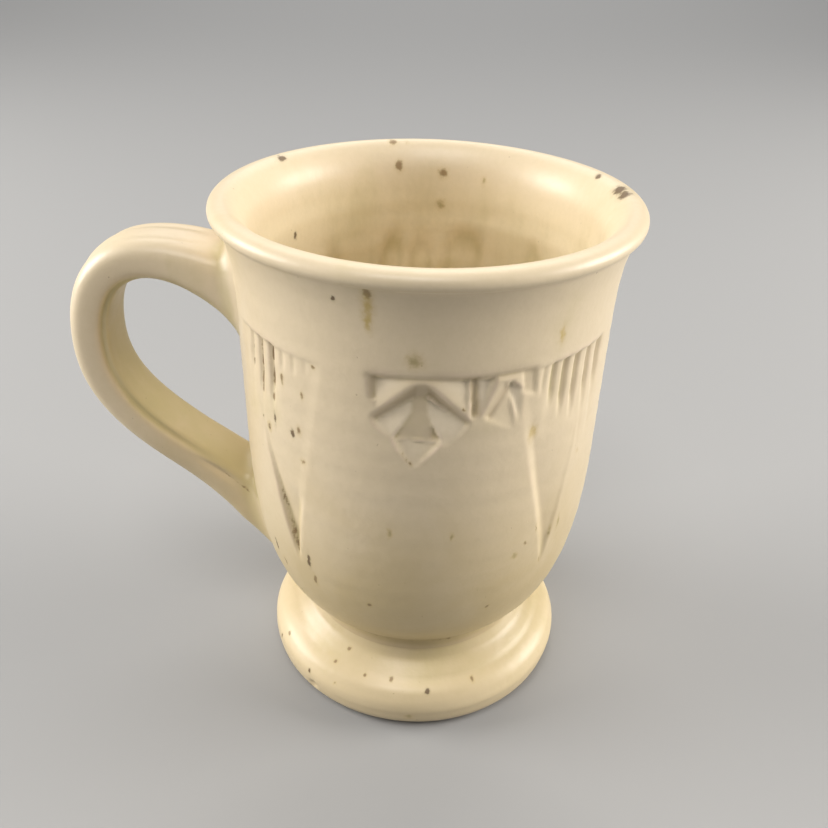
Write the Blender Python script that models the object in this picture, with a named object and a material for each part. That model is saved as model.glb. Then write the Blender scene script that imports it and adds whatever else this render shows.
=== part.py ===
"""A hand-thrown footed mug: cup, pedestal foot and strap handle, joined with clay slip.

Every length is in metres, +Z is up and the mug stands on z = 0.  The origin is the middle
of the mug's footprint, handle included, so the axis it was thrown on lies at +X.
"""
import math

import bmesh
import bpy
from mathutils import Matrix, Vector
from mathutils.geometry import interpolate_bezier

# Cup, measured on the outside unless the name says otherwise
MUG_HEIGHT = 0.119
BELLY_RADIUS = 0.0398
BELLY_HEIGHT = 0.064          # where the wall stands upright
NECK_STEP = 0.0002            # the neck's radius past the belly's, at the belt
NECK_HEIGHT = 0.0215          # from the carved belt up to the rim's crest
BELT_STEP = 0.0007            # the neck stands this much proud of the wall below it
RIM_FLARE = 0.0040            # the rim's radius past the neck's
LIP_WIDTH = 0.0052
LIP_HEIGHT = 0.0040
WALL = 0.0044
CUP_FLOOR = 0.0055
BOWL_ROUNDNESS = 0.6          # 0 is a cone, 1 a nearly square corner

# Pedestal foot
FOOT_RADIUS = 0.0370
FOOT_EDGE = 0.0120            # thickness of the rounded outer edge
EDGE_TURN = 58                # degrees of that round before it runs into the flare
WAIST_RADIUS = 0.0267
WAIST_HEIGHT = 0.0203
FOOT_WALL = 0.0078            # at the waist
STAND_INSET = 0.0050          # the flat ring that the mug stands on lies this far inside the edge
STAND_WIDTH = 0.0050

# Handle strap
FINGER_GAP = 0.0278           # from the belly to the strap, at the widest
STRAP_WIDTH = 0.0160
STRAP_THICKNESS = 0.0092
WIDEST_DROP = 0.0348          # from the rim's crest down to where the strap reaches furthest
TOP_JOINT_DROP = 0.0196       # from the rim's crest down to the middle of the upper joint
LOW_JOINT_HEIGHT = 0.0422     # middle of the lower joint
SPRING = (0.63, 0.34)         # how the strap leaves the upper joint: shares of its reach, outward and up
CROWN = 1.26                  # how high it then rises, as a share of the drop to its widest place
PULL = 0.465                  # how straight it hangs below that
LANDING = (0.39, 0.44)        # how it comes in to the lower joint: shares of its reach, outward and up
JOINT_WIDTH = 0.0200          # the strap spreads to this where it meets the cup
TOP_JOINT_THICKNESS = 0.0165
LOW_JOINT_THICKNESS = 0.0125
JOINT_SPREAD_LENGTH = 0.024   # how far from a joint the strap starts to spread
TAIL_LENGTH = 0.011           # the lower end thins out over this length, inside the cup's curve
TAIL_THINNING = 0.6

# Slip joints
SLIP_THICKNESS = 0.0009
SLIP_SPREAD = 0.0008          # how far the slip is squeezed out past the strap's end
GAP = 0.0003                  # clearance between neighbouring solids

# Carving: angles are in degrees round the wall, 0 at the front and 90 towards +X
FLUTE_WIDTH = 0.0021
FLUTE_DEPTH = 0.0009
FLUTE_LENGTH = 0.0150
FLUTE_STAGGER = 0.0020
FLUTE_PITCH = 5.3
FLUTES_PER_PANEL = 6
WEDGE_PANELS = (-137.0, -43.0, 43.0, 137.0)
WEDGE_LENGTH = 0.0500         # from the belt down to the wedge's point
WEDGE_START = 0.0210          # from the belt down to where its creases begin
WEDGE_HALF_ANGLE = 8.0
WEDGE_POINT_HALF_ANGLE = 0.9
CHEVRON_PANELS = (0.0, 90.0, 180.0)
CHEVRON_HALF_ANGLE = 12.7
CHEVRON_POINT_HALF_ANGLE = 1.4
CHEVRON_SHOULDER = 0.0080     # from the belt down to the diamond's side corners
CHEVRON_DROP = 0.0180         # from the belt down to its lowest corner
CREASE_WIDTH = 0.0018
CREASE_DEPTH = 0.0008

ROUND_SEGMENTS = 60
STRAP_SEGMENTS = 20

NECK_RADIUS = BELLY_RADIUS + NECK_STEP
RIM_RADIUS = NECK_RADIUS + RIM_FLARE
BELT_HEIGHT = MUG_HEIGHT - NECK_HEIGHT
LIP_MIDDLE = (RIM_RADIUS - LIP_WIDTH / 2, MUG_HEIGHT - LIP_HEIGHT / 2)
CUP_BASE_HEIGHT = WAIST_HEIGHT + SLIP_THICKNESS / 2 + GAP
FOOT_TOP_HEIGHT = WAIST_HEIGHT - SLIP_THICKNESS / 2 - GAP
HANDLE_REACH = BELLY_RADIUS + FINGER_GAP + STRAP_THICKNESS / 2
AXIS_X = (HANDLE_REACH + STRAP_THICKNESS / 2 - RIM_RADIUS) / 2


def clear_objects():
    for item in list(bpy.data.objects):
        bpy.data.objects.remove(item)


def glaze(name, color, roughness):
    material = bpy.data.materials.new(name)
    material.use_nodes = True
    shader = material.node_tree.nodes["Principled BSDF"]
    shader.inputs["Base Color"].default_value = (*color, 1)
    shader.inputs["Roughness"].default_value = roughness
    shader.inputs["Metallic"].default_value = 0
    material.diffuse_color = (*color, 1)
    return material


def add_object(name, mesh_edit, axis, material=None):
    """Turn a bmesh into a smooth-shaded object that hangs from the mug's axis."""
    bmesh.ops.recalc_face_normals(mesh_edit, faces=mesh_edit.faces)
    mesh = bpy.data.meshes.new(name)
    mesh_edit.to_mesh(mesh)
    mesh_edit.free()
    mesh.shade_smooth()
    mesh.set_sharp_from_angle(angle=math.radians(40))
    item = bpy.data.objects.new(name, mesh)
    bpy.context.collection.objects.link(item)
    item.parent = axis
    if material:
        mesh.materials.append(material)
    else:
        item.hide_render = True
        item.display_type = "WIRE"
    return item


def boolean(item, tool, operation, self_crossing=False):
    cut = item.modifiers.new(tool.name, "BOOLEAN")
    cut.operation = operation
    cut.solver = "EXACT"
    cut.use_self = self_crossing
    cut.object = tool


def curve(start, first_handle, second_handle, end, count):
    """Points (radius, height) on a cubic curve, without the last one."""
    corners = [Vector((*corner, 0)) for corner in (start, first_handle, second_handle, end)]
    return [(point.x, point.y) for point in interpolate_bezier(*corners, count + 1)[:-1]]


def arc(middle, half_width, half_height, first, last, count):
    """Points on an ellipse between two angles in degrees."""
    angles = [math.radians(first + (last - first) * step / count) for step in range(count + 1)]
    return [(middle[0] + half_width * math.cos(a), middle[1] + half_height * math.sin(a)) for a in angles]


def cup_outside():
    """The cup's outer profile, from its base up to the underside of the lip."""
    belly = (BELLY_RADIUS, BELLY_HEIGHT)
    shoulder = (NECK_RADIUS - BELT_STEP, BELT_HEIGHT)
    lip_root = (LIP_MIDDLE[0] + LIP_WIDTH * 0.22, LIP_MIDDLE[1] - LIP_HEIGHT * 0.45)
    swell = BELLY_RADIUS - WAIST_RADIUS
    rise = BELLY_HEIGHT - CUP_BASE_HEIGHT
    bowl = curve((WAIST_RADIUS, CUP_BASE_HEIGHT),
                 (WAIST_RADIUS + BOWL_ROUNDNESS * swell, CUP_BASE_HEIGHT + 0.09 * rise),
                 (BELLY_RADIUS, BELLY_HEIGHT - BOWL_ROUNDNESS * rise), belly, 8)
    third = (BELT_HEIGHT - BELLY_HEIGHT) / 3
    wall = curve(belly, (BELLY_RADIUS, BELLY_HEIGHT + third), (shoulder[0], BELT_HEIGHT - third), shoulder, 4)
    neck_start = (NECK_RADIUS, BELT_HEIGHT + BELT_STEP)
    neck_rise = lip_root[1] - neck_start[1]
    neck = curve(neck_start, (NECK_RADIUS, neck_start[1] + 0.45 * neck_rise),
                 (lip_root[0] - 0.5 * RIM_FLARE, lip_root[1] - 0.3 * neck_rise), lip_root, 5)
    return bowl + wall + [shoulder] + neck + [lip_root]


def cup_inside():
    """The cup's inner profile, from the lip down to the middle of the floor."""
    floor_height = CUP_BASE_HEIGHT + CUP_FLOOR
    depth = BELLY_HEIGHT - floor_height
    belly = (BELLY_RADIUS - WALL, BELLY_HEIGHT)
    shoulder = (NECK_RADIUS - BELT_STEP - WALL, BELT_HEIGHT - 0.3 * (BELT_HEIGHT - BELLY_HEIGHT))
    throat = (LIP_MIDDLE[0] - LIP_WIDTH / 2, LIP_MIDDLE[1] - LIP_HEIGHT * 0.3)
    drop = throat[1] - shoulder[1]
    neck = curve(throat, (throat[0] - 0.3 * RIM_FLARE, throat[1] - 0.27 * drop),
                 (shoulder[0], shoulder[1] + 0.4 * drop), shoulder, 4)
    bowl = curve(belly, (belly[0], BELLY_HEIGHT - BOWL_ROUNDNESS * depth),
                 (0.82 * WAIST_RADIUS, floor_height), (0, floor_height), 7)
    return neck + [shoulder] + bowl + [(0, floor_height)]


def outside_radius(height):
    """The wall's outer radius at a height, for pieces that lie on it."""
    profile = cup_outside()
    if height <= profile[0][1]:
        return profile[0][0]
    for (low_radius, low), (high_radius, high) in zip(profile, profile[1:]):
        if low <= height <= high:
            return low_radius + (high_radius - low_radius) * (height - low) / (high - low)
    return profile[-1][0]


def turned(profile):
    """Spin a profile that starts and ends on the axis, or closes on itself, into a solid."""
    mesh_edit = bmesh.new()
    points = [mesh_edit.verts.new((radius, 0, height)) for radius, height in profile]
    edges = [mesh_edit.edges.new(pair) for pair in zip(points, points[1:])]
    if profile[0][0] > 0:
        edges.append(mesh_edit.edges.new((points[-1], points[0])))
    bmesh.ops.spin(mesh_edit, geom=points + edges, cent=(0, 0, 0), axis=(0, 0, 1),
                   angle=math.tau, steps=ROUND_SEGMENTS, use_merge=True)
    bmesh.ops.remove_doubles(mesh_edit, verts=mesh_edit.verts, dist=1e-6)
    return mesh_edit


def sweep(mesh_edit, stations, segments):
    """Loft an oval section through stations (middle, along, across, half width, half thickness)."""
    loops = []
    for middle, along, across, half_width, half_thickness in stations:
        outward = along.cross(across).normalized()
        place = Matrix((across.normalized(), outward, along.normalized())).transposed().to_4x4()
        place.translation = middle
        size = Matrix.Diagonal((half_width, half_thickness, 1, 1))
        ring = bmesh.ops.create_circle(mesh_edit, segments=segments, radius=1, matrix=place @ size)["verts"]
        loops.append(list({edge for point in ring for edge in point.link_edges}))
    bmesh.ops.contextual_create(mesh_edit, geom=loops[0])
    bmesh.ops.contextual_create(mesh_edit, geom=loops[-1])
    for lower, upper in zip(loops, loops[1:]):
        bmesh.ops.bridge_loops(mesh_edit, edges=lower + upper)


def handle_path():
    """The strap's middle line, from inside the upper joint round to inside the lower one."""
    top_height = MUG_HEIGHT - TOP_JOINT_DROP
    wide_height = MUG_HEIGHT - WIDEST_DROP
    top = Vector((outside_radius(top_height), 0, top_height))
    wide = Vector((HANDLE_REACH, 0, wide_height))
    low = Vector((outside_radius(LOW_JOINT_HEIGHT), 0, LOW_JOINT_HEIGHT))
    spring = (HANDLE_REACH - top.x) * Vector((SPRING[0], 0, SPRING[1]))
    crown = Vector((0, 0, CROWN * (top_height - wide_height)))
    drop = Vector((0, 0, PULL * (wide_height - LOW_JOINT_HEIGHT)))
    landing = (HANDLE_REACH - low.x) * Vector((LANDING[0], 0, LANDING[1]))
    upper = interpolate_bezier(top, top + spring, wide + crown, wide, 15)
    lower = interpolate_bezier(wide, wide - drop, low + landing, low, 17)
    tail_way = TAIL_LENGTH * Vector((-0.5, 0, -0.85))
    return [top - spring * 0.2] + upper + lower[1:] + [low + tail_way / 2, low + tail_way]


def handle_stations(spread=0.0):
    """Stations of the strap: it spreads towards both joints, and its tail thins out."""
    path = handle_path()
    lengths = [0.0]
    for here, there in zip(path, path[1:]):
        lengths.append(lengths[-1] + (there - here).length)
    joint_at = lengths[-1] - TAIL_LENGTH
    stations = []
    for index, middle in enumerate(path):
        along = path[min(index + 1, len(path) - 1)] - path[max(index - 1, 0)]
        near_top = max(0.0, 1 - lengths[index] / JOINT_SPREAD_LENGTH) ** 2
        near_low = max(0.0, 1 - abs(joint_at - lengths[index]) / JOINT_SPREAD_LENGTH) ** 2
        tail = 1 - TAIL_THINNING * max(0.0, lengths[index] - joint_at) / TAIL_LENGTH
        width = STRAP_WIDTH + (JOINT_WIDTH - STRAP_WIDTH) * (near_top + near_low)
        thickness = STRAP_THICKNESS + (TOP_JOINT_THICKNESS - STRAP_THICKNESS) * near_top
        thickness += (LOW_JOINT_THICKNESS - STRAP_THICKNESS) * near_low
        width = width * tail + 2 * spread
        thickness = thickness * tail + 2 * spread
        place = Vector((-middle.x, 0, middle.z))
        direction = Vector((-along.x, 0, along.z))
        stations.append((place, direction, Vector((0, 1, 0)), width / 2, thickness / 2))
    return stations


def wall_solid(name, offset, axis):
    """The cup as one solid, grown outward: it trims whatever lies on the wall."""
    outside = [(radius + offset, height) for radius, height in cup_outside()]
    top = (outside[-1][0], MUG_HEIGHT)
    profile = [(0, outside[0][1])] + outside + [top, (0, MUG_HEIGHT)]
    return add_object(name, turned(profile), axis)


def wall_point(angle, height):
    """A point on the wall: angle 0 faces -Y, 90 faces +X."""
    turn = math.radians(angle)
    return Vector((math.sin(turn), -math.cos(turn), 0)) * outside_radius(height) + Vector((0, 0, height))


def groove(mesh_edit, start, end, start_size, end_size, pieces=3):
    """A V-shaped groove in the wall from (angle, height) to (angle, height); sizes are (width, depth)."""
    stations = []
    for step in range(pieces + 1):
        share = step / pieces
        angle = start[0] + (end[0] - start[0]) * share
        height = start[1] + (end[1] - start[1]) * share
        width = start_size[0] + (end_size[0] - start_size[0]) * share
        depth = start_size[1] + (end_size[1] - start_size[1]) * share
        outward = wall_point(angle, 0.5 * (BELT_HEIGHT + BELLY_HEIGHT))
        outward.z = 0
        along = wall_point(end[0], end[1]) - wall_point(start[0], start[1])
        across = outward.cross(along)
        stations.append((wall_point(angle, height), along, across, width / 2, depth))
    sweep(mesh_edit, stations, 4)


def carving_tool(axis):
    """All the grooves that are cut into the cup's wall below the belt."""
    mesh_edit = bmesh.new()
    top = BELT_HEIGHT - CREASE_WIDTH
    deep = (CREASE_WIDTH, CREASE_DEPTH)
    fine = (CREASE_WIDTH * 0.5, CREASE_DEPTH * 0.25)
    for panel in WEDGE_PANELS:
        for number in range(FLUTES_PER_PANEL):
            angle = panel + (number - (FLUTES_PER_PANEL - 1) / 2) * FLUTE_PITCH
            foot = top - FLUTE_LENGTH + FLUTE_STAGGER * (number % 2)
            groove(mesh_edit, (angle, top), (angle, foot), (FLUTE_WIDTH, FLUTE_DEPTH), fine, 1)
        for side in (-1, 1):
            start = (panel + side * WEDGE_HALF_ANGLE, BELT_HEIGHT - WEDGE_START)
            end = (panel + side * WEDGE_POINT_HALF_ANGLE, BELT_HEIGHT - WEDGE_LENGTH)
            groove(mesh_edit, start, end, fine, deep)
    for panel in CHEVRON_PANELS:
        for side in (-1, 1):
            apex = (panel + side * CHEVRON_POINT_HALF_ANGLE, top)
            corner = (panel + side * CHEVRON_HALF_ANGLE, top - CHEVRON_SHOULDER)
            point = (panel + side * CHEVRON_POINT_HALF_ANGLE, top - CHEVRON_DROP)
            lower_corner = (corner[0] - side * CHEVRON_POINT_HALF_ANGLE, corner[1] - CREASE_WIDTH)
            groove(mesh_edit, apex, corner, deep, deep, 2)
            groove(mesh_edit, lower_corner, point, deep, deep, 2)
    return add_object("carving_tool", mesh_edit, axis)


def build_cup(axis, material):
    lip = arc(LIP_MIDDLE, LIP_WIDTH / 2, LIP_HEIGHT / 2, -30, 190, 8)
    profile = [(0, CUP_BASE_HEIGHT)] + cup_outside() + lip + cup_inside()
    cup = add_object("cup_body", turned(profile), axis, material)
    boolean(cup, carving_tool(axis), "DIFFERENCE", self_crossing=True)
    return cup


def build_foot(axis, material):
    """The thrown pedestal: a ring with a flared outside, open through its middle."""
    half_edge = FOOT_EDGE / 2
    stand_outer = FOOT_RADIUS - STAND_INSET
    stand_inner = stand_outer - STAND_WIDTH
    under_edge = curve((stand_outer, 0), (stand_outer + 0.45 * STAND_INSET, 0),
                       (FOOT_RADIUS, 0.4 * half_edge), (FOOT_RADIUS, half_edge), 4)
    over_edge = arc((FOOT_RADIUS - half_edge, half_edge), half_edge, half_edge, 0, EDGE_TURN, 4)
    edge_end = over_edge.pop()
    lift = FOOT_TOP_HEIGHT - edge_end[1]
    slope = math.radians(EDGE_TURN)
    onward = (edge_end[0] - 0.5 * lift * math.sin(slope), edge_end[1] + 0.5 * lift * math.cos(slope))
    flare = curve(edge_end, onward,
                  (WAIST_RADIUS, FOOT_TOP_HEIGHT - 0.6 * lift), (WAIST_RADIUS, FOOT_TOP_HEIGHT), 6)
    bore = WAIST_RADIUS - FOOT_WALL
    inside = curve((bore, FOOT_TOP_HEIGHT), (bore, 0.6 * FOOT_TOP_HEIGHT),
                   (stand_inner - 0.25 * (stand_inner - bore), 0.3 * FOOT_TOP_HEIGHT), (stand_inner, 0), 5)
    profile = under_edge + over_edge + flare + [(WAIST_RADIUS, FOOT_TOP_HEIGHT)] + inside + [(stand_inner, 0)]
    return add_object("pedestal_foot", turned(profile), axis, material)


def build_foot_slip(axis, material):
    """The ring of slip between the pedestal's top and the cup's base."""
    inner = WAIST_RADIUS - FOOT_WALL + SLIP_SPREAD
    low = FOOT_TOP_HEIGHT + GAP
    high = low + SLIP_THICKNESS
    half = SLIP_THICKNESS / 2
    bulge = arc((WAIST_RADIUS - half, low + half), half, half, -90, 90, 4)
    return add_object("foot_slip_joint", turned([(inner, low)] + bulge + [(inner, high)]), axis, material)


def build_handle(axis, material):
    """The pulled strap, its two ends trimmed to the curve of the cup."""
    mesh_edit = bmesh.new()
    sweep(mesh_edit, handle_stations(), STRAP_SEGMENTS)
    handle = add_object("handle", mesh_edit, axis, material)
    clearance = wall_solid("handle_trim_tool", GAP + SLIP_THICKNESS + GAP, axis)
    boolean(handle, clearance, "DIFFERENCE")
    return handle


def build_handle_slip(name, stations, axis, material, inner_tool, outer_tool):
    """A pad of slip between one end of the strap and the wall."""
    mesh_edit = bmesh.new()
    sweep(mesh_edit, stations, STRAP_SEGMENTS)
    pad = add_object(name, mesh_edit, axis, material)
    boolean(pad, outer_tool, "INTERSECT")
    boolean(pad, inner_tool, "DIFFERENCE")
    return pad


def build_mug():
    clear_objects()
    axis = bpy.data.objects.new("mug_axis", None)
    axis.location = (AXIS_X, 0, 0)
    bpy.context.collection.objects.link(axis)
    cream = glaze("cream_glaze", (0.66, 0.56, 0.38), 0.42)
    slip = glaze("glazed_slip", (0.55, 0.44, 0.28), 0.5)
    build_cup(axis, cream)
    build_foot(axis, cream)
    build_foot_slip(axis, slip)
    build_handle(axis, cream)
    inner_tool = wall_solid("slip_inner_tool", GAP, axis)
    outer_tool = wall_solid("slip_outer_tool", GAP + SLIP_THICKNESS, axis)
    stations = handle_stations(SLIP_SPREAD)
    build_handle_slip("upper_handle_slip_joint", stations[:6], axis, slip, inner_tool, outer_tool)
    build_handle_slip("lower_handle_slip_joint", stations[-7:], axis, slip, inner_tool, outer_tool)


build_mug()
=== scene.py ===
import math

import bmesh
import bpy
import numpy as np
from mathutils import Matrix, Vector
from mathutils.geometry import interpolate_bezier


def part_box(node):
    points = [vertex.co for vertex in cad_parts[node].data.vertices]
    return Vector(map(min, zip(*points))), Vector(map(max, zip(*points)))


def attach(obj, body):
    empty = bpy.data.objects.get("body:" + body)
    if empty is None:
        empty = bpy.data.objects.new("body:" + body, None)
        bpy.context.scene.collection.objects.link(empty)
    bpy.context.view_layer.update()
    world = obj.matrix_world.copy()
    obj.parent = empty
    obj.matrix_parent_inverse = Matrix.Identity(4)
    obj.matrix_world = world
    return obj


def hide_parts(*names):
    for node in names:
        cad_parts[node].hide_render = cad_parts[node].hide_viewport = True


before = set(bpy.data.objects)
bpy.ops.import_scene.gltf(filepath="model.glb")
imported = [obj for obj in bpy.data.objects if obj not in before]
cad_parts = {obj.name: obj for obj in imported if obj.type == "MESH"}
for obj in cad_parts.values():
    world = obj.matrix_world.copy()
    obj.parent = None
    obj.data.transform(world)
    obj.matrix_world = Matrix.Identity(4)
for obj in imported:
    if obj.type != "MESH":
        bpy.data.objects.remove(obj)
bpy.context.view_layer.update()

cupLow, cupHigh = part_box("cup_body")
footLow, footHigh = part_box("pedestal_foot")
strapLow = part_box("handle")[0]
topSlipLow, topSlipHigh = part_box("upper_handle_slip_joint")
lowSlipLow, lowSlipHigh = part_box("lower_handle_slip_joint")

mm = 0.001
axisX = (footLow[0] + footHigh[0]) / 2  # the mug was thrown on this axis
rimRadius = (cupHigh[1] - cupLow[1]) / 2
mugHeight = cupHigh[2]
footRadius = (footHigh[1] - footLow[1]) / 2


def bezier(start, firstHandle, secondHandle, end, count=24):
    corners = [Vector((*corner, 0)) for corner in (start, firstHandle, secondHandle, end)]
    return [(point.x, point.y) for point in interpolate_bezier(*corners, count)]


def oval(middle, halfWidth, halfHeight, first, last, count=24):
    angles = np.radians(np.linspace(first, last, count))
    return [(middle[0] + halfWidth * math.cos(a), middle[1] + halfHeight * math.sin(a)) for a in angles]


def spaced(path, spacing):
    # the same outline with its points this far apart
    points = np.array(path)
    lengths = np.concatenate([[0], np.cumsum(np.hypot(*np.diff(points, axis=0).T))])
    count = max(2, round(lengths[-1] / spacing) + 1)
    at = np.linspace(0, lengths[-1], count)
    return list(zip(np.interp(at, lengths, points[:, 0]), np.interp(at, lengths, points[:, 1])))


def joined(*paths):
    outline = []
    for path in paths:
        outline += [point for point in path if not outline or math.dist(point, outline[-1]) > 1e-6]
    return outline


def turnedMesh(outline, steps, closed=False):
    # an outline of (radius, height), spun round the mug's axis like clay on the wheel
    mesh = bmesh.new()
    points = [mesh.verts.new((axisX + radius, 0, height)) for radius, height in outline]
    edges = [mesh.edges.new(pair) for pair in zip(points, points[1:])]
    if closed:
        edges.append(mesh.edges.new((points[-1], points[0])))
    bmesh.ops.spin(mesh, geom=points + edges, cent=(axisX, 0, 0), axis=(0, 0, 1),
                   angle=math.tau, steps=steps, use_merge=True)
    bmesh.ops.remove_doubles(mesh, verts=mesh.verts, dist=1e-6)
    bmesh.ops.recalc_face_normals(mesh, faces=mesh.faces)
    return mesh


def addPiece(name, mesh, materials, sharpAngle=60):
    data = bpy.data.meshes.new(name)
    mesh.to_mesh(data)
    mesh.free()
    data.shade_smooth()
    data.set_sharp_from_angle(angle=math.radians(sharpAngle))
    for material in materials:
        data.materials.append(material)
    piece = bpy.data.objects.new(name, data)
    bpy.context.collection.objects.link(piece)
    return piece


def readValues(items, name, width=1, kind=float):
    values = np.empty(len(items) * width, dtype=kind)
    items.foreach_get(name, values)
    return values.reshape(-1, width) if width > 1 else values


def readPoints(piece):
    return readValues(piece.data.vertices, "co", 3)


def writePoints(piece, points):
    piece.data.vertices.foreach_set("co", points.ravel())
    piece.data.update()


def readEdges(piece):
    return readValues(piece.data.edges, "vertices", 2, int)


def softened(values, edges, rounds, share=0.5):
    # each value drifts towards the mean of its neighbours, as glaze levels a cut
    counts = np.bincount(edges.ravel(), minlength=len(values))
    for _ in range(rounds):
        total = np.bincount(edges[:, 0], values[edges[:, 1]], len(values))
        total += np.bincount(edges[:, 1], values[edges[:, 0]], len(values))
        values = values + share * (total / np.maximum(counts, 1) - values)
    return values


def storeMasks(piece, **masks):
    # a mask that is not stored counts as 0 all over
    for name, values in masks.items():
        layer = piece.data.attributes.new(name, "FLOAT", "POINT")
        layer.data.foreach_set("value", np.clip(values, 0, 1).astype(np.float32))


def ease(value, low, high):
    share = np.clip((value - low) / (high - low), 0, 1)
    return share * share * (3 - 2 * share)


def wallPlace(points):
    # angle in degrees round the axis (0 faces the viewer, 90 the side away from the handle), radius, height
    x, y = points[:, 0] - axisX, points[:, 1]
    return np.degrees(np.arctan2(x, -y)), np.hypot(x, y), points[:, 2]


def moveRadially(points, radius, newRadius):
    scale = np.where(radius > 1e-6, newRadius / np.maximum(radius, 1e-6), 1)
    points[:, 0] = axisX + (points[:, 0] - axisX) * scale
    points[:, 1] *= scale


def radiusAt(height, outline):
    outline = np.array(outline)
    outline = outline[np.argsort(outline[:, 1], kind="stable")]
    return np.interp(height, outline[:, 1], outline[:, 0])


def hump(value, middle, reach):
    # 1 at the middle and nothing well past the reach
    return np.exp(-((value - middle) / reach) ** 2)


def squared(value, power):
    # pushes a circle's sine or cosine out towards a square's
    return math.copysign(abs(value) ** power, value)


class Wire:
    # a shader socket that can be used in sums
    def __init__(self, tree, socket=None):
        self.tree, self.socket = tree, socket

    def node(self, kind, inputs=None, output=0, **settings):
        made = self.tree.nodes.new(kind)
        for name, value in settings.items():
            setattr(made, name, value)
        for name, value in (inputs or {}).items():
            if isinstance(value, Wire):
                self.tree.links.new(value.socket, made.inputs[name])
            else:
                made.inputs[name].default_value = value
        return Wire(self.tree, made.outputs[output])

    def math(self, operation, other, swapped=False):
        first, second = (other, self) if swapped else (self, other)
        return self.node("ShaderNodeMath", {0: first, 1: second}, operation=operation)

    def __add__(self, other):
        return self.math("ADD", other)

    def __sub__(self, other):
        return self.math("SUBTRACT", other)

    def __rsub__(self, other):
        return self.math("SUBTRACT", other, swapped=True)

    def __mul__(self, other):
        return self.math("MULTIPLY", other)

    def __truediv__(self, other):
        return self.math("DIVIDE", other)

    __radd__, __rmul__ = __add__, __mul__

    def step(self, low, high):
        # 0 below low, 1 above high, smooth between
        return self.node("ShaderNodeMapRange", {"Value": self, "From Min": low, "From Max": high},
                         interpolation_type="SMOOTHSTEP")

    def mix(self, base, color):
        # this mask lays color over base
        return self.node("ShaderNodeMix", {0: self, 6: base, 7: color}, output=2, data_type="RGBA")

    def scaled(self, amounts):
        return self.node("ShaderNodeVectorMath", {0: self, 1: amounts}, operation="MULTIPLY")

    def moved(self, amounts):
        return self.node("ShaderNodeVectorMath", {0: self, 1: amounts}, operation="ADD")

    def noise(self, size, detail=3.0, roughness=0.5, distortion=0.0, output=0):
        # size is the pattern's grain in metres
        return self.node("ShaderNodeTexNoise", {"Vector": self, "Scale": 1 / size, "Detail": detail,
                                                "Roughness": roughness, "Distortion": distortion}, output)

    def mask(self, name):
        return self.node("ShaderNodeAttribute", output=2, attribute_name=name)


def color(red, green, blue):
    return (red, green, blue, 1.0)


def newMaterial(name):
    material = bpy.data.materials.new(name)
    material.use_nodes = True
    tree = material.node_tree
    return material, tree, tree.nodes["Principled BSDF"]


glazeLook = {
    "cream": color(0.715, 0.590, 0.405),
    "thin": color(0.765, 0.610, 0.450),  # where the glaze is thin it is pinker
    "thick": color(0.560, 0.470, 0.245),  # where it pools it is greener; at the foot's waist it also stands for painted shade under the bowl
    "lowTone": color(0.545, 0.418, 0.200),  # darker and browner lower down the bowl
    "lowToneBand": (0.078, 0.026),  # from this height down to this one
    "footBand": (0.018, 0.024),  # and it fades out on the foot's flare
    "flareBand": (0.021, 0.018),
    "lining": color(0.830, 0.705, 0.475),  # painted light inside the cup: brighter and yellower, for the light bounced round the inside
    # painted light on the carved facets that face up
    "pale": color(0.860, 0.740, 0.560),
    "shade": color(0.400, 0.300, 0.190),  # painted shade in the deeper cuts, along the belt and round the waist under the bowl
    "brown": color(0.110, 0.060, 0.025),
    "rust": color(0.225, 0.138, 0.058),
    "ochre": color(0.500, 0.350, 0.090),
    "olive": color(0.320, 0.250, 0.100),
    "cloudSize": 0.021,
    "runSize": 0.0042,
    "roughness": 0.42,
    # speckles: one cell's size, their radius in cells, how many cells stay empty
    "pepper": (0.0019, 0.085, 0.35),
    "flecks": (0.0062, 0.075, 0.25),
    "spots": (0.0125, 0.062, 0.5),
    "spotShift": (0.0043, 0.0031, 0.0057),
    "wander": 0.0011,  # how far a speckle's outline strays
    "squat": 0.62,  # below 1 the speckles stand taller than wide
    "runStretch": 0.16,  # runs are drawn out downwards
    "grainSize": 0.0011,
    "dashSize": 0.0026,
    "skinSize": 0.0032,
    "markSize": 1.3,
    "ragged": 1.1,  # how torn the marks' outlines are
    "soft": {"brown": 0.5, "rust": 0.6, "ochre": 1.0, "olive": 1.0},  # how softly a mark ends
    "strong": {"brown": 0.92, "rust": 0.85, "ochre": 0.8, "olive": 0.7},
    "pitDepth": 0.00018,
    "skinDepth": 0.00005,
    "creaseDepth": 0.00008,
    "coat": (0.06, 0.16),  # weight and roughness
    "ior": 1.5,
}
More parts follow.
